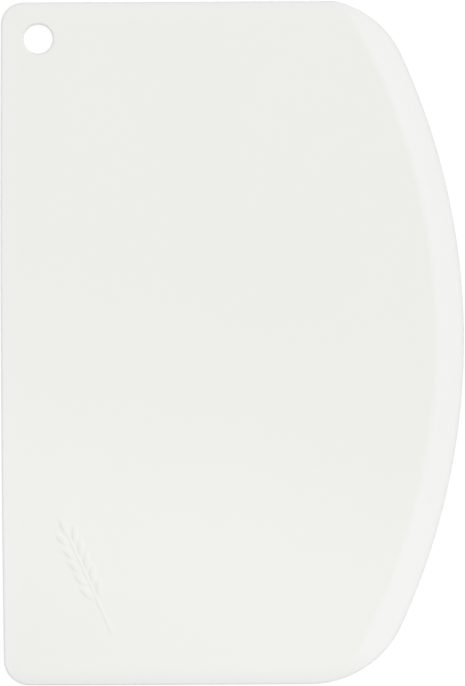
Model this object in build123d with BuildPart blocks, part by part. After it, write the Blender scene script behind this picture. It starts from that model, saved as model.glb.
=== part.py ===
from build123d import *
from math import atan2, degrees, sqrt
import os

# Bench scraper: a D-shaped plate of white plastic, moulded in one piece.
# It lies on its flat back face at z = 0. +X points at the curved working edge, +Y runs
# along the straight back edge towards the end with the hang hole, and the origin is under
# the middle of the outline.

# Overall size
length = 146.0
width = 99.0
thickness = 2.0

# Outline
back_crown = 0.4  # how far the back edge bows out at the middle of its length
back_top_radius = 4.8
back_bottom_radius = 5.5
working_radius = 146.0
working_rise = 1.1  # the working curve's centre stands this far above mid-length
top_corner_radius = 20.6
top_corner_inset = 20.1  # less than the radius, so this arc meets the top edge at a slight angle
top_corner_softening = 6.0  # radius that takes the point off that angle
bottom_corner_radius = 21.6

# Section
bevel_width = 5.8
working_edge_thickness = 0.8
bevel_overcut = 2.0  # the bevel's cutter runs past the plate by this much
front_rounding = 0.5
back_rounding = 0.3

# Hang hole
hole_radius = 3.15
hole_inset = 7.85  # from the back edge's ends and from the top edge
hole_lip_rounding = 0.3

# Raised wheat ear on the front face, stem end towards the bottom edge
ear_centre = (-31.5, -49.5)
ear_tilt = 24.0  # degrees that the tip leans from +Y towards the back edge
ear_length = 28.0
ear_height = 0.2
stem_length = 24.5
stem_width = 0.8
grain_length = 5.0
grain_width = 1.9
grain_pairs = 5
grain_pitch = 3.1
grain_offset = 1.45  # each grain overlaps the stem and its neighbours
grain_splay = 24.0  # degrees between a grain and the stem

half_length = length / 2
back_corner_x = back_crown - width / 2
working_centre = Vector(width / 2 - working_radius, working_rise)


def corner_centre(radius, inset, end):
    """Centre of a corner arc inside the working curve and tangent to it, at end +1 (top) or -1."""
    y = end * (half_length - inset)
    reach = working_radius - radius
    return Vector(working_centre.X + sqrt(reach**2 - (y - working_centre.Y) ** 2), y)


def direction(start, end):
    """Angle in degrees of the line from one point to another."""
    return degrees(atan2(end.Y - start.Y, end.X - start.X))


top_corner = corner_centre(top_corner_radius, top_corner_inset, 1)
bottom_corner = corner_centre(bottom_corner_radius, bottom_corner_radius, -1)
top_edge_end = Vector(top_corner.X + sqrt(top_corner_radius**2 - top_corner_inset**2), half_length)
bottom_edge_end = Vector(bottom_corner.X, -half_length)
top_turn = direction(working_centre, top_corner)
bottom_turn = direction(working_centre, bottom_corner)
top_start = direction(top_corner, top_edge_end)

with BuildSketch() as outline:
    with BuildLine():
        back = ThreePointArc((back_corner_x, -half_length), (-width / 2, 0), (back_corner_x, half_length))
        Line(back @ 1, top_edge_end)
        CenterArc(top_corner, top_corner_radius, top_turn, top_start - top_turn)
        CenterArc(working_centre, working_radius, bottom_turn, top_turn - bottom_turn)
        CenterArc(bottom_corner, bottom_corner_radius, -90, bottom_turn + 90)
        Line(bottom_edge_end, back @ 0)
    make_face()
    fillet(outline.vertices().sort_by_distance(top_edge_end)[0], radius=top_corner_softening)
    fillet(outline.vertices().sort_by_distance(back @ 0)[0], radius=back_bottom_radius)
    fillet(outline.vertices().sort_by_distance(back @ 1)[0], radius=back_top_radius)
    with Locations((back_corner_x + hole_inset, half_length - hole_inset)):
        Circle(hole_radius, mode=Mode.SUBTRACT)

ear_plane = Plane(origin=(*ear_centre, thickness), z_dir=(0, 0, 1)).rotated((0, 0, ear_tilt))

with BuildSketch(ear_plane) as wheat_ear:
    with Locations((0, (stem_length - ear_length) / 2)):
        SlotOverall(stem_length, stem_width, rotation=90)
    with Locations((0, ear_length / 2 - grain_length / 2)):
        Ellipse(grain_width / 2, grain_length / 2)
    for pair in range(grain_pairs):
        height = ear_length / 2 - grain_length - pair * grain_pitch
        for side in (-1, 1):
            with Locations((side * grain_offset, height)):
                Ellipse(grain_width / 2, grain_length / 2, rotation=-side * grain_splay)

with BuildPart() as scraper_body:
    add(outline.sketch)
    extrude(amount=thickness)
    hole_lips = scraper_body.edges().filter_by(GeomType.CIRCLE).sort_by(SortBy.RADIUS)[:2]
    fillet(hole_lips, radius=hole_lip_rounding)
    front_face = scraper_body.faces().sort_by(Axis.Z)[-1]
    fillet(front_face.outer_wire().edges(), radius=front_rounding)
    back_face = scraper_body.faces().sort_by(Axis.Z)[0]
    fillet(back_face.outer_wire().edges(), radius=back_rounding)
    # The bevel is a cone about the working curve's centre, so it runs out at both corners.
    slope = (thickness - working_edge_thickness) / bevel_width
    outer_reach = working_radius + bevel_overcut
    with BuildSketch(Plane(origin=(*working_centre,), x_dir=(1, 0, 0), z_dir=(0, -1, 0))):
        with BuildLine():
            Polyline(
                (working_radius - bevel_width, thickness),
                (outer_reach, working_edge_thickness - slope * bevel_overcut),
                (outer_reach, thickness + bevel_overcut),
                (working_radius - bevel_width, thickness + bevel_overcut),
                close=True,
            )
        make_face()
    revolve(axis=Axis(working_centre, (0, 0, 1)), mode=Mode.SUBTRACT)
    add(wheat_ear.sketch)
    extrude(amount=ear_height)

scraper_body.part.label = "scraper_body"

os.makedirs("parts", exist_ok=True)
export_step(scraper_body.part, "parts/scraper_body.step")
print("volume mm3", scraper_body.part.volume, "solids", len(scraper_body.part.solids()))
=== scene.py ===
import logging
import math
from abc import ABC, abstractmethod
from dataclasses import dataclass
from enum import Enum

import bpy
import numpy as np
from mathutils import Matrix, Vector


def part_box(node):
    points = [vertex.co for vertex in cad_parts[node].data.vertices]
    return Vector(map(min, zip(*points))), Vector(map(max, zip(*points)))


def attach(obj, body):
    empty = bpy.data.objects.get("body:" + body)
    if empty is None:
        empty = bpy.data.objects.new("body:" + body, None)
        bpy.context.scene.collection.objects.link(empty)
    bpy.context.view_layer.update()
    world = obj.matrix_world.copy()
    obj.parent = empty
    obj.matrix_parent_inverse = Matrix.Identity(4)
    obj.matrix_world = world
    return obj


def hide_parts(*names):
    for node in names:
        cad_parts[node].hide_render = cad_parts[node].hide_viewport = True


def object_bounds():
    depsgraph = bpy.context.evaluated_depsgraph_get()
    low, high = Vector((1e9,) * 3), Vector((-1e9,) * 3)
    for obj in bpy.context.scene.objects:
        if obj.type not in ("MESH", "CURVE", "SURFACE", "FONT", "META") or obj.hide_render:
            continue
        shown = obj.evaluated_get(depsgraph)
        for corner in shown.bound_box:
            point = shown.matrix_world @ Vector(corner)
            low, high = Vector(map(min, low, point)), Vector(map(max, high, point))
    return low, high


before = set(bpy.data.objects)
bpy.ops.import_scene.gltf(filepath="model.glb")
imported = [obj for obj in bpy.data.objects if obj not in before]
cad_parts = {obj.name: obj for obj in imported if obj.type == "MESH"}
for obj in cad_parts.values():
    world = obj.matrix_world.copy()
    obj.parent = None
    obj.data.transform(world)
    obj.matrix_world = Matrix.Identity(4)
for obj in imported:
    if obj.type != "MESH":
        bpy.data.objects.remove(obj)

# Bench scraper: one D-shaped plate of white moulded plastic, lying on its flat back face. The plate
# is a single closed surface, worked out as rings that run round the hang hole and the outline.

MM = 0.001
CAD_LOW, CAD_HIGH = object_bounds()
Colour = tuple[float, float, float, float]
SocketValue = bpy.types.NodeSocket | float | tuple[float, ...]
WHITE: Colour = (1.0, 1.0, 1.0, 1.0)
log = logging.getLogger("bench_scraper")


def smooth_step(value: np.ndarray, low: float, high: float) -> np.ndarray:
    """Ramp from 0 at low to 1 at high with level ends: 3 t^2 - 2 t^3."""
    share = np.clip((value - low) / (high - low), 0.0, 1.0)
    return share * share * (3.0 - 2.0 * share)


def blend(low: float, high: float, share: np.ndarray) -> np.ndarray:
    """Mix of two sizes: low at share 0, high at share 1."""
    return low + (high - low) * share


def bearing(start: np.ndarray, end: np.ndarray) -> float:
    """Angle of the way from one point to another, anticlockwise from +X."""
    return math.atan2(*(end - start)[::-1])


def lifted(xy: np.ndarray, z: np.ndarray | float) -> np.ndarray:
    """Points of the plan, raised to the given heights."""
    return np.concatenate([xy, np.broadcast_to(z, xy.shape[:-1])[..., None]], axis=-1)


def rounded_corner(start: np.ndarray, corner: np.ndarray, end: np.ndarray, steps: int) -> np.ndarray:
    """Rounding between two sides of a section, as a quarter circle pulled to fit its three points.

    It is the rational quadratic curve whose middle point weighs cos 45 degrees, which is an exact
    quarter circle where the two sides are square and of one length.

    Args:
        start: Points where the rounding leaves the first side, one row per spoke.
        corner: Points where the two sides would meet.
        end: Points where the rounding joins the second side.
        steps: Number of steps along the curve.

    Returns:
        Points of shape (steps + 1, spokes, 3), from start to end.
    """
    t = np.linspace(0.0, 1.0, steps + 1)[:, None, None]
    weight = math.cos(math.pi / 4)
    first, middle, last = (1 - t) ** 2, 2 * weight * t * (1 - t), t**2
    return (first * start + middle * corner + last * end) / (first + middle + last)


def solid_mesh(name: str, points: np.ndarray, faces: np.ndarray) -> bpy.types.Object:
    """Makes a smooth-shaded mesh object at the origin and links it to the scene.

    Args:
        name: The object's name.
        points: Vertex positions, one row each.
        faces: Vertex numbers of the quads, one row each.

    Returns:
        The new object.
    """
    mesh = bpy.data.meshes.new(name)
    mesh.from_pydata(points.tolist(), [], faces.tolist())
    mesh.polygons.foreach_set("use_smooth", np.ones(len(faces), bool))
    mesh.update()
    piece = bpy.data.objects.new(name, mesh)
    bpy.context.scene.collection.objects.link(piece)
    return piece


class End(Enum):
    """The two ends of the plate: the top one has the hang hole."""

    TOP = 1
    BOTTOM = -1


class Mask(Enum):
    """Masks that the plate's mesh carries for its finish and for painted light and shade, each from 0 to
    1.
    """

    NEAR_RIM = "near_rim"
    # Painted light: brightens the bevel, standing in for light through the thinner plastic.
    BEVEL = "bevel"
    # Painted shade: darkens the outer strip of the working edge.
    PAINTED_EDGE_SHADE = "painted_edge_shade"


@dataclass(frozen=True)
class Outline:
    """Outline of the plate: a slightly bowed back edge, two straight ends and the working curve."""

    length: float
    width: float = 99.0 * MM
    back_crown: float = 0.4 * MM
    back_top_radius: float = 4.8 * MM
    back_bottom_radius: float = 5.5 * MM
    working_radius: float = 146.0 * MM
    working_rise: float = 1.1 * MM
    top_corner_radius: float = 20.6 * MM
    top_corner_inset: float = 20.1 * MM
    top_softening: float = 6.0 * MM
    bottom_corner_radius: float = 21.6 * MM
    fine_step: float = 0.02 * MM

    @property
    def working_centre(self) -> np.ndarray:
        """Centre of the working curve."""
        return np.array([self.width / 2 - self.working_radius, self.working_rise])

    @property
    def back_radius(self) -> float:
        """Radius of the back edge: half the chord squared over twice its crown, plus half the crown."""
        return (self.length / 2) ** 2 / (2 * self.back_crown) + self.back_crown / 2

    def from_working_centre(self, xy: np.ndarray) -> np.ndarray:
        """Distance of each point from the working curve's centre."""
        return np.hypot(*np.moveaxis(xy - self.working_centre, -1, 0))

    def corner_centre(self, radius: float, inset: float, end: End) -> np.ndarray:
        """Centre of a corner arc that touches the working curve from inside.

        Args:
            radius: The corner arc's radius.
            inset: How far the centre lies in from that end of the plate.
            end: Which end the corner is at.

        Returns:
            The centre, as x and y.
        """
        y = end.value * (self.length / 2 - inset)
        rise = y - self.working_centre[1]
        reach = self.working_radius - radius
        return np.array([self.working_centre[0] + math.sqrt(reach**2 - rise**2), y])

    def softening_centre(self, top: np.ndarray) -> np.ndarray:
        """Centre of the small arc that takes the point off where the top corner meets the top edge.

        Args:
            top: The top corner arc's centre.

        Returns:
            The centre, as x and y.
        """
        y = self.length / 2 - self.top_softening
        reach = self.top_corner_radius - self.top_softening
        return np.array([top[0] + math.sqrt(reach**2 - (y - top[1]) ** 2), y])

    def back_corner(self, radius: float, end: End) -> tuple[np.ndarray, float]:
        """Corner arc between an end and the bowed back edge.

        Args:
            radius: The corner arc's radius.
            end: Which end the corner is at.

        Returns:
            The arc's centre, and the angle from -X at which it runs into the back edge.
        """
        rise = self.length / 2 - radius
        reach = self.back_radius - radius
        x = self.back_radius - self.width / 2 - math.sqrt(reach**2 - rise**2)
        return np.array([x, end.value * rise]), math.asin(rise / reach)

    def arc(
        self, centre: np.ndarray, radius: float, start: float, end: float
    ) -> tuple[np.ndarray, np.ndarray]:
        """Points along an arc, each the centre plus the radius times its normal.

        Args:
            centre: The arc's centre.
            radius: The arc's radius.
            start: Angle at which it starts.
            end: Angle at which it ends, left out.

        Returns:
            Points every fine_step and outward normals, one row each.
        """
        count = max(2, int(radius * abs(end - start) / self.fine_step))
        angle = np.linspace(start, end, count, endpoint=False)
        normals = np.stack([np.cos(angle), np.sin(angle)], axis=1)
        return centre + radius * normals, normals

    def straight(self, start: np.ndarray, end: np.ndarray) -> tuple[np.ndarray, np.ndarray]:
        """Points along a straight side, whose outward normal is to the right of the way.

        Args:
            start: Where the side starts.
            end: Where it ends, left out.

        Returns:
            Points every fine_step and outward normals, one row each.
        """
        along = end - start
        size = float(np.hypot(*along))
        share = np.linspace(0.0, 1.0, max(2, int(size / self.fine_step)), endpoint=False)[:, None]
        normal = np.array([along[1], -along[0]]) / size
        return start + share * along, np.tile(normal, (len(share), 1))

    def trace(self) -> tuple[np.ndarray, np.ndarray]:
        """The whole outline at fine_step, anticlockwise from the bottom edge.

        Returns:
            Points and outward normals, one row each.
        """
        half, quarter = self.length / 2, math.pi / 2
        bottom = self.corner_centre(self.bottom_corner_radius, self.bottom_corner_radius, End.BOTTOM)
        top = self.corner_centre(self.top_corner_radius, self.top_corner_inset, End.TOP)
        bottom_turn, top_turn = (bearing(self.working_centre, corner) for corner in (bottom, top))
        soft = self.softening_centre(top)
        soft_turn = bearing(top, soft)
        back_centre = np.array([self.back_radius - self.width / 2, 0.0])
        back_top, lean = self.back_corner(self.back_top_radius, End.TOP)
        back_bottom, bottom_lean = self.back_corner(self.back_bottom_radius, End.BOTTOM)
        back_start, back_end = math.pi - lean, math.pi + bottom_lean
        stretches = [
            self.straight(np.array([back_bottom[0], -half]), np.array([bottom[0], -half])),
            self.arc(bottom, self.bottom_corner_radius, -quarter, bottom_turn),
            self.arc(self.working_centre, self.working_radius, bottom_turn, top_turn),
            self.arc(top, self.top_corner_radius, top_turn, soft_turn),
            self.arc(soft, self.top_softening, soft_turn, quarter),
            self.straight(np.array([soft[0], half]), np.array([back_top[0], half])),
            self.arc(back_top, self.back_top_radius, quarter, back_start),
            self.arc(back_centre, self.back_radius, back_start, back_end),
            self.arc(back_bottom, self.back_bottom_radius, back_end, 3 * quarter),
        ]
        points, normals = (np.concatenate(part) for part in zip(*stretches))
        return points, normals


@dataclass(frozen=True)
class WheatEar:
    """Wheat ear raised on the front face: a stem, pairs of grains and one grain at the tip.

    The stem's share is of the ear's height, and the groove's depth is a share of the grain's. The
    flank, and the groove's width and fade, are shares of half a grain's width or length.
    """

    centre: tuple[float, float] = (-31.5 * MM, -49.5 * MM)
    tilt: float = math.radians(24.0)
    length: float = 28.0 * MM
    height: float = 0.2 * MM
    stem_length: float = 24.5 * MM
    stem_width: float = 0.8 * MM
    stem_share: float = 0.55
    grain_length: float = 5.0 * MM
    grain_width: float = 1.9 * MM
    grain_pairs: int = 5
    grain_pitch: float = 3.1 * MM
    grain_offset: float = 1.45 * MM
    grain_splay: float = math.radians(24.0)
    flank: float = 0.85
    groove: float = 0.3
    groove_width: float = 0.22
    groove_fade: tuple[float, float] = (0.1, 0.5)
    margin: float = 1.5 * MM

    def local(self, xy: np.ndarray) -> tuple[np.ndarray, np.ndarray]:
        """Turns points into the ear's own frame.

        Args:
            xy: Points on the plate.

        Returns:
            How far each lies across the ear, and along it.
        """
        x, y = xy[..., 0] - self.centre[0], xy[..., 1] - self.centre[1]
        c, s = math.cos(self.tilt), math.sin(self.tilt)
        return x * c + y * s, y * c - x * s

    def corners(self) -> np.ndarray:
        """The four corners of the ear's box on the plate, with a margin round it.

        Returns:
            The corners, one row each.
        """
        lean = self.grain_length / 2 * math.sin(self.grain_splay)
        across = self.grain_offset + lean + self.grain_width / 2 + self.margin
        along = self.length / 2 + self.margin
        c, s = math.cos(self.tilt), math.sin(self.tilt)
        box = np.array([[across, along], [-across, along], [-across, -along], [across, -along]])
        return np.array(self.centre) + box @ np.array([[c, s], [-s, c]])

    def grain(self, across: np.ndarray, along: np.ndarray, side: float, root: float) -> np.ndarray:
        """One grain as a share of the ear's height.

        The grain is an ellipse turned by its splay. Its flank climbs as a smooth step from the rim
        inwards, and a shallow groove, a bell curve across, runs along its middle.

        Args:
            across: Distance of each point across the ear.
            along: Distance of each point along the ear.
            side: -1 or +1 for the side of the stem, 0 for the grain at the tip.
            root: How far along the ear the grain's centre lies.

        Returns:
            Height of each point, from 0 to 1.
        """
        c, s = math.cos(side * self.grain_splay), math.sin(side * self.grain_splay)
        x, y = across - side * self.grain_offset, along - root
        u, v = (x * c - y * s) / (self.grain_width / 2), (y * c + x * s) / (self.grain_length / 2)
        body = smooth_step(1.0 - np.hypot(u, v), 0.0, self.flank)
        groove = np.exp(-((u / self.groove_width) ** 2)) * smooth_step(1.0 - np.abs(v), *self.groove_fade)
        return body * (1.0 - self.groove * groove)

    def relief(self, xy: np.ndarray) -> np.ndarray:
        """Height of the ear above the plate: the highest of its stem and its grains at each point.

        Args:
            xy: Points on the plate.

        Returns:
            The height at each point.
        """
        across, along = self.local(xy)
        stem_low, stem_high = -self.length / 2, -self.length / 2 + self.stem_length
        past = np.maximum(np.maximum(stem_low + self.stem_width / 2 - along, along - stem_high), 0.0)
        inside_stem = 1.0 - np.hypot(across, past) / (self.stem_width / 2)
        height = self.stem_share * smooth_step(inside_stem, 0.0, 1.0)
        height = np.maximum(height, self.grain(across, along, 0.0, (self.length - self.grain_length) / 2))
        for pair in range(self.grain_pairs):
            root = self.length / 2 - self.grain_length - pair * self.grain_pitch
            for side in (-1.0, 1.0):
                height = np.maximum(height, self.grain(across, along, side, root))
        return self.height * height


@dataclass(frozen=True)
class Section:
    """Section of the plate: its thickness, bevel, soft ends and rounded rims.

    bevel_slope is how far the bevel falls per metre. bevel_hollow, which is per metre, times the
    square of the way past the crease is what that fall loses again.
    """

    thickness: float
    bevel_width: float = 5.8 * MM
    bevel_slope: float = 0.34
    bevel_hollow: float = 18.0
    crease_reach: float = 0.75 * MM
    top_roll: float = 0.5 * MM
    bottom_roll: float = 0.6 * MM
    roll_width: float = 3.6 * MM
    front_rounding: float = 0.48 * MM
    working_front_rounding: float = 0.28 * MM
    back_rounding: float = 0.35 * MM
    working_back_rounding: float = 0.18 * MM

    def bevel_drop(self, past: np.ndarray) -> np.ndarray:
        """How far the bevel falls below the front face.

        The fall is the slope times the distance past the crease, less a hollow that grows with its
        square. Within reach b of the crease the distance a is bent into (a + b)^2 / 4b, which meets
        the flat and the slope without a kink.

        Args:
            past: Distance beyond the crease, negative on the flat of the plate.

        Returns:
            The fall at each point.
        """
        near = np.clip(past, -self.crease_reach, self.crease_reach)
        bend = (near + self.crease_reach) ** 2 / (4 * self.crease_reach)
        soft = bend + np.maximum(past - self.crease_reach, 0.0)
        return self.bevel_slope * soft - self.bevel_hollow * soft**2


@dataclass(frozen=True)
class Spokes:
    """The spokes that every ring crosses, with the sizes of the section where each meets the rim.

    band is how far the ringed band reaches inside the rim, and roll the depth of the soft roll.
    """

    rim: np.ndarray
    normals: np.ndarray
    band: np.ndarray
    roll: np.ndarray
    front_rounding: np.ndarray
    back_rounding: np.ndarray

    @property
    def inner(self) -> np.ndarray:
        """Where the band's inner ring crosses each spoke."""
        return self.inside(self.band_insets(1.0))

    def inside(self, inset: np.ndarray | float) -> np.ndarray:
        """Points set in from the rim along its normals."""
        return self.rim - self.normals * np.asarray(inset)[..., None]

    def band_insets(self, share: np.ndarray | float) -> np.ndarray:
        """Insets in the band: from the front rounding at share 0 to the band's width at share 1."""
        return self.front_rounding + (self.band - self.front_rounding) * share

    def inset_of(self, points: np.ndarray) -> np.ndarray:
        """How far each point lies inside the rim, measured along its own spoke's normal."""
        return np.einsum("rsk,sk->rs", self.rim[None] - points[..., :2], self.normals)


@dataclass(frozen=True)
class RingPlan:
    """How closely the plate's rings and spokes are set.

    Steps are lengths along the surface, or counts where a rounding has them, and turns are angles.
    ear_fade is a share of half the angle that the ear takes up, seen from the hang hole. lip_support
    and back_shares are shares of the way from the hole's lip to the band or to the back's margin, and
    front rings nearer to the lip than support_gap times lip_support are left out. edge_support and
    back_margin lie inside the back rounding. slope_probe is what the front's slope is measured over.
    """

    even_step: float = 2.4 * MM
    outline_turn: float = math.radians(4.5)
    hole_turn: float = math.radians(6.0)
    ear_step: float = 0.24 * MM
    ear_fade: tuple[float, float] = (0.95, 1.1)
    interior_step: float = 5.0 * MM
    interior_samples: int = 4001
    band_rings: int = 18
    band_crowding: float = 1.1
    front_rounding_steps: int = 8
    back_rounding_steps: int = 5
    front_lip_steps: int = 6
    back_lip_steps: int = 4
    lip_support: float = 0.012
    support_gap: float = 1.5
    edge_support: float = 0.08 * MM
    back_margin: float = 1.0 * MM
    back_shares: tuple[float, ...] = (1.0, 0.97, 0.8, 0.6, 0.4, 0.2, 0.06)
    slope_probe: float = 0.01 * MM


@dataclass(frozen=True)
class ScraperPlate:
    """The plate: one closed surface of rings round the hang hole, dressed in moulded plastic.

    rim_tint is the insets between which the rim's tint fades, and run_out the shares of the
    bevel's full width between which the bevel's painted brightening does.
    """

    outline: Outline
    section: Section
    ear: WheatEar
    plan: RingPlan
    hole_radius: float = 3.15 * MM
    hole_inset: float = 7.85 * MM
    front_lip: float = 0.45 * MM
    back_lip: float = 0.3 * MM
    narrow_band: float = 3.6 * MM
    flash: float = 0.03 * MM
    flash_width: float = 0.06 * MM
    rim_tint: tuple[float, float] = (0.5 * MM, 4.5 * MM)
    # Width of the painted shade along the working edge's outer strip.
    edge_shade_width: float = 0.7 * MM
    run_out: tuple[float, float] = (0.1, 0.9)

    @property
    def hole_centre(self) -> np.ndarray:
        """Centre of the hang hole, set in from the back edge's ends and from the top edge."""
        back = self.outline.back_crown - self.outline.width / 2
        return np.array([back + self.hole_inset, self.outline.length / 2 - self.hole_inset])

    def past_crease(self, xy: np.ndarray) -> np.ndarray:
        """How far each point lies beyond the bevel's crease."""
        crease = self.outline.working_radius - self.section.bevel_width
        return self.outline.from_working_centre(xy) - crease

    def band_width(self, xy: np.ndarray) -> np.ndarray:
        """Width of the ringed band inside the rim: as wide as the bevel there, plus narrow_band."""
        return self.narrow_band + np.maximum(self.past_crease(xy), 0.0)

    def spokes_wanted(self, rim: np.ndarray, normals: np.ndarray) -> np.ndarray:
        """How many spokes each step of the outline asks for.

        That is its length over the even step, plus its own turn and its turn seen from the hole
        over their steps, plus its width at the ear over ear_step.

        Args:
            rim: The outline's points.
            normals: Its outward normals.

        Returns:
            A share of a spoke for each point.
        """
        plan = self.plan
        inner = rim - normals * self.band_width(rim)[:, None]
        seen = np.unwrap(np.arctan2(*np.moveaxis(inner - self.hole_centre, 1, 0)[::-1]))
        facing = np.unwrap(np.arctan2(normals[:, 1], normals[:, 0]))
        ear = self.ear.corners() - self.hole_centre
        ear_seen = np.arctan2(ear[:, 1], ear[:, 0])
        middle, spread = ear_seen.mean(), np.ptp(ear_seen) / 2
        offset = np.abs((seen - middle + math.pi) % (2 * math.pi) - math.pi)
        fade_start, fade_end = plan.ear_fade
        near_ear = 1.0 - smooth_step(offset, fade_start * spread, fade_end * spread)
        ear_distance = float(np.hypot(*ear.mean(axis=0)))
        step = np.hypot(*np.diff(rim, axis=0, append=rim[:1]).T)
        turn = np.abs(np.diff(facing, append=facing[-1:]))
        seen_turn = np.abs(np.diff(seen, append=seen[-1:]))
        wanted = step / plan.even_step + turn / plan.outline_turn + seen_turn / plan.hole_turn
        return wanted + near_ear * seen_turn * ear_distance / plan.ear_step

    def place_spokes(self) -> tuple[np.ndarray, np.ndarray]:
        """Places the spokes along the outline, closest where the surface needs most of them.

        Returns:
            Rim points and outward normals, one row per spoke.
        """
        rim, normals = self.outline.trace()
        total = np.concatenate([[0.0], np.cumsum(self.spokes_wanted(rim, normals))])
        count = round(total[-1])
        marks = np.arange(count) * total[-1] / count
        chosen = np.interp(marks, total[:-1], np.arange(len(rim))).round().astype(int)
        return rim[chosen], normals[chosen]

    def spokes(self) -> Spokes:
        """Works out the section's sizes where each spoke meets the rim.

        The rim is plain to bevelled as a smooth step of the bevel's fall there over its full fall.
        The soft roll goes with how plain it is and with the square of the normal's part along Y.

        Returns:
            The spokes.
        """
        rim, normals = self.place_spokes()
        cut = self.section
        full_drop = cut.bevel_drop(np.array(cut.bevel_width))
        plain = 1.0 - smooth_step(cut.bevel_drop(self.past_crease(rim)) / full_drop, 0.0, 1.0)
        end_roll = np.where(normals[:, 1] > 0, cut.top_roll, cut.bottom_roll)
        return Spokes(
            rim=rim,
            normals=normals,
            band=self.band_width(rim),
            roll=plain * end_roll * normals[:, 1] ** 2,
            front_rounding=blend(cut.working_front_rounding, cut.front_rounding, plain),
            back_rounding=blend(cut.working_back_rounding, cut.back_rounding, plain),
        )

    def interior_shares(self) -> np.ndarray:
        """Where the rings lie between the hole and the band, as shares of the way out.

        Rings are interior_step apart, or ear_step apart along the stretch of a spoke that the ear takes.

        Returns:
            Rising numbers between 0 and 1, both ends left out.
        """
        ear, margin = np.hypot(*(self.ear.corners() - self.hole_centre).T), self.ear.margin
        way = self.outline.length - self.hole_inset - self.narrow_band - self.hole_radius
        fine = np.linspace(0.0, 1.0, self.plan.interior_samples)
        distance = self.hole_radius + fine * way
        near_ear = smooth_step(distance, ear.min() - margin, ear.min() + margin)
        near_ear *= 1.0 - smooth_step(distance, ear.max() - margin, ear.max())
        density = way * (1.0 / self.plan.interior_step + near_ear / self.plan.ear_step)
        total = np.concatenate([[0.0], np.cumsum((density[1:] + density[:-1]) / 2 * np.diff(fine))])
        count = round(total[-1])
        return np.interp(np.arange(1, count) * total[-1] / count, total, fine)

    def top_height(self, xy: np.ndarray, inset: np.ndarray, roll: np.ndarray) -> np.ndarray:
        """Height of the front face: the thickness less the bevel's fall and the soft roll at the rim.

        The roll is its depth times (1 - inset / roll width) squared.

        Args:
            xy: Points on the plate.
            inset: How far each lies inside the rim.
            roll: Depth of the roll at the rim nearest each point.

        Returns:
            Heights above the back face.
        """
        left = np.clip(1.0 - inset / self.section.roll_width, 0.0, 1.0)
        fall = self.section.bevel_drop(self.past_crease(xy))
        return self.section.thickness - fall - roll * left**2

    def hole_ring(self, spokes: Spokes, radius: float) -> np.ndarray:
        """Points at a radius round the hang hole, each in line with its spoke's inner end."""
        out = spokes.inner - self.hole_centre
        return self.hole_centre + out / np.hypot(*out.T)[:, None] * radius

    def front_face(self, spokes: Spokes) -> np.ndarray:
        """Rings of the front: the hole's lip, the flat with the ear, and the band out to the rounding.

        Args:
            spokes: The plate's spokes.

        Returns:
            Points of shape (rings, spokes, 3), from the hole outwards.
        """
        plan, top = self.plan, self.section.thickness
        bore = self.hole_ring(spokes, self.hole_radius)
        ring = self.hole_ring(spokes, self.hole_radius + self.front_lip)
        lip = rounded_corner(
            lifted(bore, top - self.front_lip),
            lifted(bore, top),
            lifted(ring, top),
            plan.front_lip_steps,
        )
        shares = self.interior_shares()
        shares = shares[shares > plan.support_gap * plan.lip_support]
        shares = np.concatenate([[plan.lip_support], shares])[:, None, None]
        flat = ring + (spokes.inner - ring) * shares
        flat = lifted(flat, self.top_height(flat, spokes.band, spokes.roll) + self.ear.relief(flat))
        insets = spokes.band_insets(np.linspace(1.0, 0.0, plan.band_rings)[:, None] ** plan.band_crowding)
        band = spokes.inside(insets)
        band = lifted(band, self.top_height(band, insets, spokes.roll))
        return np.concatenate([lip, flat, band])

    def edge(self, spokes: Spokes) -> np.ndarray:
        """Rings of the edge: the front rounding, the wall with its parting line, the back rounding.

        The front rounding leaves the front face along the slope there, which is its rise over
        slope_probe, and the corner that it rounds is that slope carried on to the wall.

        Args:
            spokes: The plate's spokes.

        Returns:
            Points of shape (rings, spokes, 3), from the front face to the back face.
        """
        plan, rim = self.plan, spokes.rim
        front_r, back_r = spokes.front_rounding, spokes.back_rounding
        start, probed = spokes.inside(front_r), spokes.inside(front_r + plan.slope_probe)
        z_start = self.top_height(start, front_r, spokes.roll)
        z_probed = self.top_height(probed, front_r + plan.slope_probe, spokes.roll)
        z_corner = z_start - (z_probed - z_start) / plan.slope_probe * front_r
        front = rounded_corner(
            lifted(start, z_start),
            lifted(rim, z_corner),
            lifted(rim, z_corner - front_r),
            plan.front_rounding_steps,
        )
        middle = (z_corner - front_r + back_r) / 2
        wall = [
            lifted(rim, middle + self.flash_width),
            lifted(spokes.inside(-self.flash), middle),
            lifted(rim, middle - self.flash_width),
        ]
        back = rounded_corner(
            lifted(rim, back_r),
            lifted(rim, 0.0),
            lifted(spokes.inside(back_r), 0.0),
            plan.back_rounding_steps,
        )
        return np.concatenate([front[1:], wall, back])

    def back_face(self, spokes: Spokes) -> np.ndarray:
        """Rings of the flat back, of the hole's back lip and of the hole's wall.

        Args:
            spokes: The plate's spokes.

        Returns:
            Points of shape (rings, spokes, 3), from the back rounding to the middle of the hole's wall.
        """
        plan, back_r = self.plan, spokes.back_rounding
        bore = self.hole_ring(spokes, self.hole_radius)
        ring = self.hole_ring(spokes, self.hole_radius + self.back_lip)
        near_edge = lifted(spokes.inside(back_r + plan.edge_support), 0.0)
        shares = np.array([*plan.back_shares, plan.lip_support])[:, None, None]
        flat = lifted(ring + (spokes.inside(back_r + plan.back_margin) - ring) * shares, 0.0)
        lip = rounded_corner(
            lifted(ring, 0.0),
            lifted(bore, 0.0),
            lifted(bore, self.back_lip),
            plan.back_lip_steps,
        )
        wall = lifted(bore, self.section.thickness / 2)
        return np.concatenate([near_edge[None], flat, lip, wall[None]])

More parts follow.
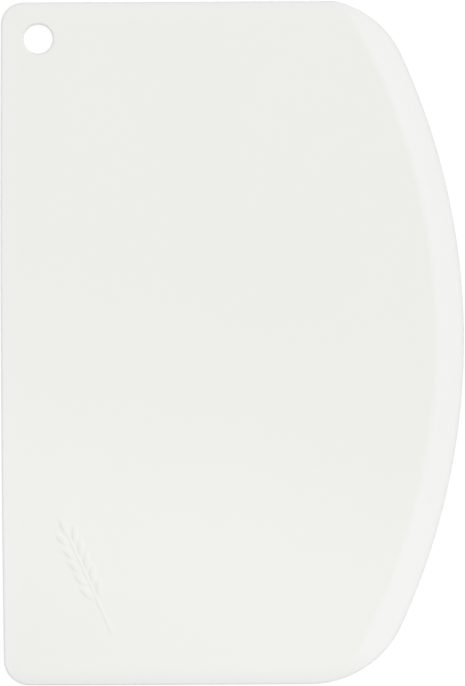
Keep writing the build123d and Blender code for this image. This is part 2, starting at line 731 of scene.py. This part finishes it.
    def masks(self, spokes: Spokes, points: np.ndarray) -> dict[Mask, np.ndarray]:
        """Masks for the finish and for the light and shade painted into it.

        The rim's mask falls as a smooth step of the inset. The bevel's, for painted light, climbs over
        the crease, times a step that lets it fade where the bevel runs out. The edge shade's, for
        painted shade, is the bevel's outer strip.

        Args:
            spokes: The plate's spokes.
            points: All points of the plate, of shape (rings, spokes, 3).

        Returns:
            For each mask a number from 0 to 1 at each point.
        """
        inset, reach = spokes.inset_of(points), self.section.crease_reach
        bevel_there = (spokes.band - self.narrow_band) / self.section.bevel_width
        past = self.past_crease(points[..., :2])
        # Painted light: the bevel's mask brightens the bevel, standing in for light through the thinner
        # plastic.
        bevel = smooth_step(bevel_there, *self.run_out) * smooth_step(past, -reach, reach)
        return {
            Mask.NEAR_RIM: 1.0 - smooth_step(inset, *self.rim_tint),
            Mask.BEVEL: bevel,
            # Painted shade: darkens the bevel's outer strip.
            Mask.PAINTED_EDGE_SHADE: bevel * (1.0 - smooth_step(inset, 0.0, self.edge_shade_width)),
        }

    def build(self) -> bpy.types.Object:
        """Makes the plate's mesh: every ring joined to the next, and the last to the first.

        Returns:
            The plate, with its masks as attributes.
        """
        spokes = self.spokes()
        points = np.concatenate([self.front_face(spokes), self.edge(spokes), self.back_face(spokes)])
        rings, count = points.shape[:2]
        ring, spoke = np.arange(rings)[:, None], np.arange(count)[None, :]
        here, beside = ring * count + spoke, ring * count + (spoke + 1) % count
        out, out_beside = np.roll(here, -1, axis=0), np.roll(beside, -1, axis=0)
        faces = np.stack([here, out, out_beside, beside], axis=-1).reshape(-1, 4)
        plate = solid_mesh("scraper_plate", points.reshape(-1, 3), faces)
        for mask, values in self.masks(spokes, points).items():
            attribute = plate.data.attributes.new(mask.value, "FLOAT", "POINT")
            attribute.data.foreach_set("value", values.reshape(-1).astype(np.float32))
        return plate

    def dress(self, plate: bpy.types.Object, plastic: bpy.types.Material) -> None:
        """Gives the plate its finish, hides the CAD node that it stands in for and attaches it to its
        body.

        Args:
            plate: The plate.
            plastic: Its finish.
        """
        plate.data.materials.append(plastic)
        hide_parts("scraper_body")
        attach(plate, "root")


class Nodes:
    """Short hand for building one node tree."""

    # Places of a colour mix among its node's sockets, which share their names between data types.
    MIX_SHARE, MIX_FIRST, MIX_SECOND, MIX_RESULT = 0, 6, 7, 2

    def __init__(self, tree: bpy.types.NodeTree) -> None:
        """Starts on a tree whose nodes are cleared."""
        self.tree = tree
        tree.nodes.clear()

    def add(
        self, kind: str, settings: dict[str, object] | None = None, **inputs: SocketValue
    ) -> bpy.types.Node:
        """Adds a node, sets its properties and fills its inputs.

        Args:
            kind: The node's type, such as ShaderNodeMath.
            settings: Properties of the node itself.
            **inputs: Input names, with _ for a blank, each with a value or a socket to link from.

        Returns:
            The new node.
        """
        node = self.tree.nodes.new(kind)
        for key, value in (settings or {}).items():
            setattr(node, key, value)
        for key, value in inputs.items():
            self.fill(node.inputs[key.replace("_", " ")], value)
        return node

    def fill(self, socket: bpy.types.NodeSocket, value: SocketValue) -> None:
        """Fills one input.

        Args:
            socket: The input.
            value: A socket to link from, or a value to set.
        """
        if isinstance(value, bpy.types.NodeSocket):
            self.tree.links.new(value, socket)
        else:
            socket.default_value = value

    def math(self, operation: str, *values: SocketValue) -> bpy.types.NodeSocket:
        """Works out one sum.

        Args:
            operation: The sum's name, such as ADD.
            *values: The numbers or sockets that it takes, in order.

        Returns:
            The result.
        """
        node = self.add("ShaderNodeMath", {"operation": operation})
        for socket, value in zip(node.inputs, values):
            self.fill(socket, value)
        return node.outputs[0]

    def mix(self, share: SocketValue, first: SocketValue, second: SocketValue) -> bpy.types.NodeSocket:
        """Mixes two colours.

        Args:
            share: How much of the second colour is in the mix.
            first: The first colour.
            second: The second colour.

        Returns:
            The mixed colour.
        """
        node = self.add("ShaderNodeMix", {"data_type": "RGBA"})
        self.fill(node.inputs[self.MIX_SHARE], share)
        self.fill(node.inputs[self.MIX_FIRST], first)
        self.fill(node.inputs[self.MIX_SECOND], second)
        return node.outputs[self.MIX_RESULT]


def grain_group() -> bpy.types.NodeTree:
    """Node group of the fine, even grain that a textured mould or a coated board leaves.

    Returns:
        The group, with inputs Vector, Scale and Swell and the output Height. Swell is how much of a
        wider noise, at wide_share of the scale, is added to the fine one.
    """
    default_scale, default_swell, wide_share = 3000.0, 0.5, 0.06
    group = bpy.data.node_groups.new("fine_grain", "ShaderNodeTree")
    group.interface.new_socket("Vector", in_out="INPUT", socket_type="NodeSocketVector")
    scale = group.interface.new_socket("Scale", in_out="INPUT", socket_type="NodeSocketFloat")
    scale.default_value = default_scale
    swell = group.interface.new_socket("Swell", in_out="INPUT", socket_type="NodeSocketFloat")
    swell.default_value = default_swell
    group.interface.new_socket("Height", in_out="OUTPUT", socket_type="NodeSocketFloat")
    n = Nodes(group)
    given = n.add("NodeGroupInput").outputs
    fine = n.add("ShaderNodeTexNoise", Vector=given["Vector"], Scale=given["Scale"], Detail=2.0)
    wide_scale = n.math("MULTIPLY", given["Scale"], wide_share)
    wide = n.add("ShaderNodeTexNoise", Vector=given["Vector"], Scale=wide_scale, Detail=1.0)
    swelling = n.math("MULTIPLY", wide.outputs["Fac"], given["Swell"])
    n.add("NodeGroupOutput", Height=n.math("ADD", fine.outputs["Fac"], swelling))
    return group


def mottle_group() -> bpy.types.NodeTree:
    """Node group of the faint, wide mottling that the melt leaves as it flows along the mould.

    Returns:
        The group, with inputs Vector and Scale and the output Mask, from 0 to 1. The mottling is
        drawn out along Y, and noise from darkest to palest fills the mask's whole range.
    """
    default_scale, drawn_out = 30.0, (1.0, 0.35, 1.0)
    darkest, palest = 0.3, 0.7
    group = bpy.data.node_groups.new("melt_mottle", "ShaderNodeTree")
    group.interface.new_socket("Vector", in_out="INPUT", socket_type="NodeSocketVector")
    scale = group.interface.new_socket("Scale", in_out="INPUT", socket_type="NodeSocketFloat")
    scale.default_value = default_scale
    group.interface.new_socket("Mask", in_out="OUTPUT", socket_type="NodeSocketFloat")
    n = Nodes(group)
    given = n.add("NodeGroupInput").outputs
    stretched = n.add("ShaderNodeMapping", Vector=given["Vector"], Scale=drawn_out)
    noise = n.add("ShaderNodeTexNoise", Vector=stretched.outputs[0], Scale=given["Scale"], Detail=3.0)
    mask = n.add("ShaderNodeMapRange", Value=noise.outputs["Fac"], From_Min=darkest, From_Max=palest)
    n.add("NodeGroupOutput", Mask=mask.outputs[0])
    return group


@dataclass(frozen=True)
class MouldedPlastic:
    """White moulded plastic with a fine grain and faint mottling.

    It is less yellow along the rims, has painted light that brightens the bevel and painted
    shade that darkens the outer strip of the working edge.
    """

    name: str = "moulded_plastic"
    core: Colour = (0.716, 0.716, 0.684, 1.0)
    rim: Colour = (0.716, 0.716, 0.7035, 1.0)
    # Painted light: a brighter tone on the bevel, standing in for light through the thinner plastic.
    bevel: Colour = (0.727, 0.727, 0.714, 1.0)
    # Painted shade: a darker tone along the outer strip of the working edge.
    edge_shade_tone: Colour = (0.665, 0.665, 0.655, 1.0)
    mottle_scale: float = 28.0
    mottle_depth: float = 0.012
    roughness: float = 0.42
    roughness_swing: float = 0.08
    refraction: float = 1.49
    grain_scale: float = 2600.0
    grain_swell: float = 1.5
    grain_depth: float = 0.004 * MM

    def material(self, grain: bpy.types.NodeTree, mottle: bpy.types.NodeTree) -> bpy.types.Material:
        """Builds the material.

        Args:
            grain: The fine_grain group.
            mottle: The melt_mottle group.

        Returns:
            The material, for a mesh that carries the masks.
        """
        made = bpy.data.materials.new(self.name)
        made.use_nodes = True
        n = Nodes(made.node_tree)
        place = n.add("ShaderNodeTexCoord").outputs["Object"]
        mottling = n.add("ShaderNodeGroup", {"node_tree": mottle}, Vector=place, Scale=self.mottle_scale)
        mottled = mottling.outputs["Mask"]
        near_rim, bevel, painted_edge_shade = (
            n.add("ShaderNodeAttribute", {"attribute_name": mask.value}).outputs["Fac"] for mask in Mask
        )
        tint_and_painted_light = n.mix(near_rim, self.core, self.rim)
        # Painted light and shade: the bevel is brightened and the working edge's outer strip darkened.
        tint_and_painted_light = n.mix(painted_edge_shade, n.mix(bevel, tint_and_painted_light, self.bevel), self.edge_shade_tone)
        shade = n.math("MULTIPLY_ADD", mottled, self.mottle_depth, 1.0 - self.mottle_depth / 2)
        colour = n.add("ShaderNodeVectorMath", {"operation": "SCALE"}, Vector=tint_and_painted_light, Scale=shade)
        smoothest = self.roughness - self.roughness_swing / 2
        rough = n.math("MULTIPLY_ADD", mottled, self.roughness_swing, smoothest)
        height = n.add(
            "ShaderNodeGroup",
            {"node_tree": grain},
            Vector=place,
            Scale=self.grain_scale,
            Swell=self.grain_swell,
        ).outputs["Height"]
        bump = n.add("ShaderNodeBump", Strength=1.0, Distance=self.grain_depth, Height=height)
        shader = n.add(
            "ShaderNodeBsdfPrincipled",
            Base_Color=colour.outputs[0],
            Roughness=rough,
            IOR=self.refraction,
            Normal=bump.outputs[0],
        )
        n.add("ShaderNodeOutputMaterial", Surface=shader.outputs[0])
        return made


@dataclass(frozen=True)
class PaleBoard:
    """Pale coated board, lit a little from below like a light table."""

    name: str = "pale_board"
    colour: Colour = (0.15, 0.15, 0.15, 1.0)
    glow: float = 0.839
    roughness: float = 0.9
    grain_scale: float = 900.0
    grain_swell: float = 0.5
    grain_strength: float = 0.2
    grain_depth: float = 0.02 * MM

    def material(self, grain: bpy.types.NodeTree) -> bpy.types.Material:
        """Builds the material.

        Args:
            grain: The fine_grain group.

        Returns:
            The material.
        """
        made = bpy.data.materials.new(self.name)
        made.use_nodes = True
        n = Nodes(made.node_tree)
        place = n.add("ShaderNodeTexCoord").outputs["Object"]
        height = n.add(
            "ShaderNodeGroup",
            {"node_tree": grain},
            Vector=place,
            Scale=self.grain_scale,
            Swell=self.grain_swell,
        ).outputs["Height"]
        bump = n.add(
            "ShaderNodeBump",
            Strength=self.grain_strength,
            Distance=self.grain_depth,
            Height=height,
        )
        shader = n.add(
            "ShaderNodeBsdfPrincipled",
            Base_Color=self.colour,
            Roughness=self.roughness,
            Normal=bump.outputs[0],
            Emission_Color=WHITE,
            Emission_Strength=self.glow,
        )
        n.add("ShaderNodeOutputMaterial", Surface=shader.outputs[0])
        return made


@dataclass(frozen=True, kw_only=True)
class Lamp(ABC):
    """One studio light: where it stands, its power and the point it shines at."""

    name: str
    place: tuple[float, float, float]
    aim: tuple[float, float, float] = (0.0, 0.0, 0.0)
    power: float
    mirrored: bool
    stretch: float = 1.0

    @abstractmethod
    def make(self) -> bpy.types.Light:
        """Makes the light's own data."""

    def build(self) -> None:
        """Adds the light to the scene, unseen by the camera and, unless mirrored, by reflections."""
        data = self.make()
        data.energy = self.power
        lamp = bpy.data.objects.new(self.name, data)
        lamp.location, lamp.visible_camera = self.place, False
        lamp.visible_glossy = self.mirrored
        lamp.scale = (self.stretch, 1.0, 1.0)
        way = Vector(self.aim) - Vector(self.place)
        lamp.rotation_euler = way.to_track_quat("-Z", "Y").to_euler()
        bpy.context.scene.collection.objects.link(lamp)


@dataclass(frozen=True, kw_only=True)
class Softbox(Lamp):
    """A square softbox."""

    side: float

    def make(self) -> bpy.types.Light:
        """Makes a square area light.

        Returns:
            The light's data.
        """
        data = bpy.data.lights.new(self.name, "AREA")
        data.shape, data.size = "SQUARE", self.side
        return data


@dataclass(frozen=True, kw_only=True)
class SoftSpot(Lamp):
    """A spotlight that fades all the way from its middle to the edge of its pool of light."""

    pool: float
    lamp_radius: float = 0.03

    def make(self) -> bpy.types.Light:
        """Makes a spotlight whose pool has the given radius at the point it shines at.

        Returns:
            The light's data.
        """
        data = bpy.data.lights.new(self.name, "SPOT")
        distance = (Vector(self.aim) - Vector(self.place)).length
        data.spot_size, data.spot_blend = 2 * math.atan(self.pool / distance), 1.0
        data.shadow_soft_size = self.lamp_radius
        return data


STUDIO_LIGHTS: tuple[Lamp, ...] = (
    Softbox(name="overhead_softbox", place=(0.0, 0.0, 2.0), power=28.7, mirrored=True, side=3.0),
    Softbox(name="side_softbox", place=(3.74, 0.33, 1.37), power=43.1, mirrored=False, side=1.2),
    Softbox(name="end_softbox", place=(0.0, 3.06, 2.57), power=11.4, mirrored=False, side=1.2),
    SoftSpot(
        name="end_spot",
        place=(0.1, 0.2, 1.4),
        aim=(0.006, -0.057, 0.0),
        power=3.3,
        mirrored=True,
        stretch=4.0,
        pool=0.042,
    ),
)


@dataclass(frozen=True)
class Studio:
    """Pale floor, even surroundings, soft lights, and a camera that looks straight down."""

    lights: tuple[Lamp, ...] = STUDIO_LIGHTS
    board: PaleBoard = PaleBoard()
    surroundings: float = 0.6
    backdrop: float = 1.04
    floor_side: float = 16.0
    floor_cells: int = 8
    floor_gap: float = 0.02 * MM
    camera_height: float = 0.9
    picture_height: float = 146.66 * MM
    roll: float = math.radians(-0.27)
    sensor: float = 36.0
    clip: tuple[float, float] = (0.01, 50.0)

    def world(self) -> None:
        """Even surroundings: one strength as light, and a brighter white as the backdrop."""
        world = bpy.data.worlds.new("studio")
        world.use_nodes = True
        bpy.context.scene.world = world
        n = Nodes(world.node_tree)
        seen = n.add("ShaderNodeLightPath").outputs["Is Camera Ray"]
        strength = n.math("MULTIPLY_ADD", seen, self.backdrop - self.surroundings, self.surroundings)
        light = n.add("ShaderNodeBackground", Color=WHITE, Strength=strength)
        n.add("ShaderNodeOutputWorld", Surface=light.outputs[0])

    def floor(self, grain: bpy.types.NodeTree) -> None:
        """Plain pale floor just under the plate.

        Args:
            grain: The fine_grain group, for its board.
        """
        row = self.floor_cells + 1
        share = np.linspace(-0.5, 0.5, row) * self.floor_side
        x, y = np.meshgrid(share, share)
        points = np.stack([x, y, np.full_like(x, -self.floor_gap)], axis=-1).reshape(-1, 3)
        cell = np.arange(self.floor_cells)
        corner = (cell[:, None] * row + cell[None, :]).reshape(-1)
        faces = np.stack([corner, corner + 1, corner + row + 1, corner + row], axis=1)
        floor = solid_mesh("floor", points, faces)
        floor.data.materials.append(self.board.material(grain))

    def camera(self) -> None:
        """Camera over the plate's centre: the lens takes in picture_height at half the plate's depth."""
        data = bpy.data.cameras.new("camera")
        data.sensor_width = self.sensor
        distance = self.camera_height - (CAD_HIGH.z + CAD_LOW.z) / 2
        data.lens = self.sensor * distance / self.picture_height
        data.clip_start, data.clip_end = self.clip
        camera = bpy.data.objects.new("camera", data)
        centre = (CAD_LOW + CAD_HIGH) / 2
        camera.location = (centre.x, centre.y, self.camera_height)
        camera.rotation_euler = (0.0, 0.0, self.roll)
        bpy.context.scene.collection.objects.link(camera)
        bpy.context.scene.camera = camera

    def build(self, grain: bpy.types.NodeTree) -> None:
        """Sets up the whole studio, with colours shown as they are.

        Args:
            grain: The fine_grain group, for the floor.
        """
        self.world()
        self.floor(grain)
        self.camera()
        for light in self.lights:
            light.build()
        view = bpy.context.scene.view_settings
        view.view_transform, view.exposure = "Standard", 0.0


def main() -> None:
    logging.basicConfig(level=logging.INFO, format="%(message)s")
    grain, mottle = grain_group(), mottle_group()
    Studio().build(grain)
    low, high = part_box("scraper_body")
    size, ear = high - low, WheatEar()
    section = Section(thickness=size.z - ear.height)
    scraper = ScraperPlate(Outline(length=size.y), section, ear, RingPlan())
    plate = scraper.build()
    scraper.dress(plate, MouldedPlastic().material(grain, mottle))
    log.info("%s: %d points, %d quads", plate.name, len(plate.data.vertices), len(plate.data.polygons))


if __name__ == "__main__":
    main()
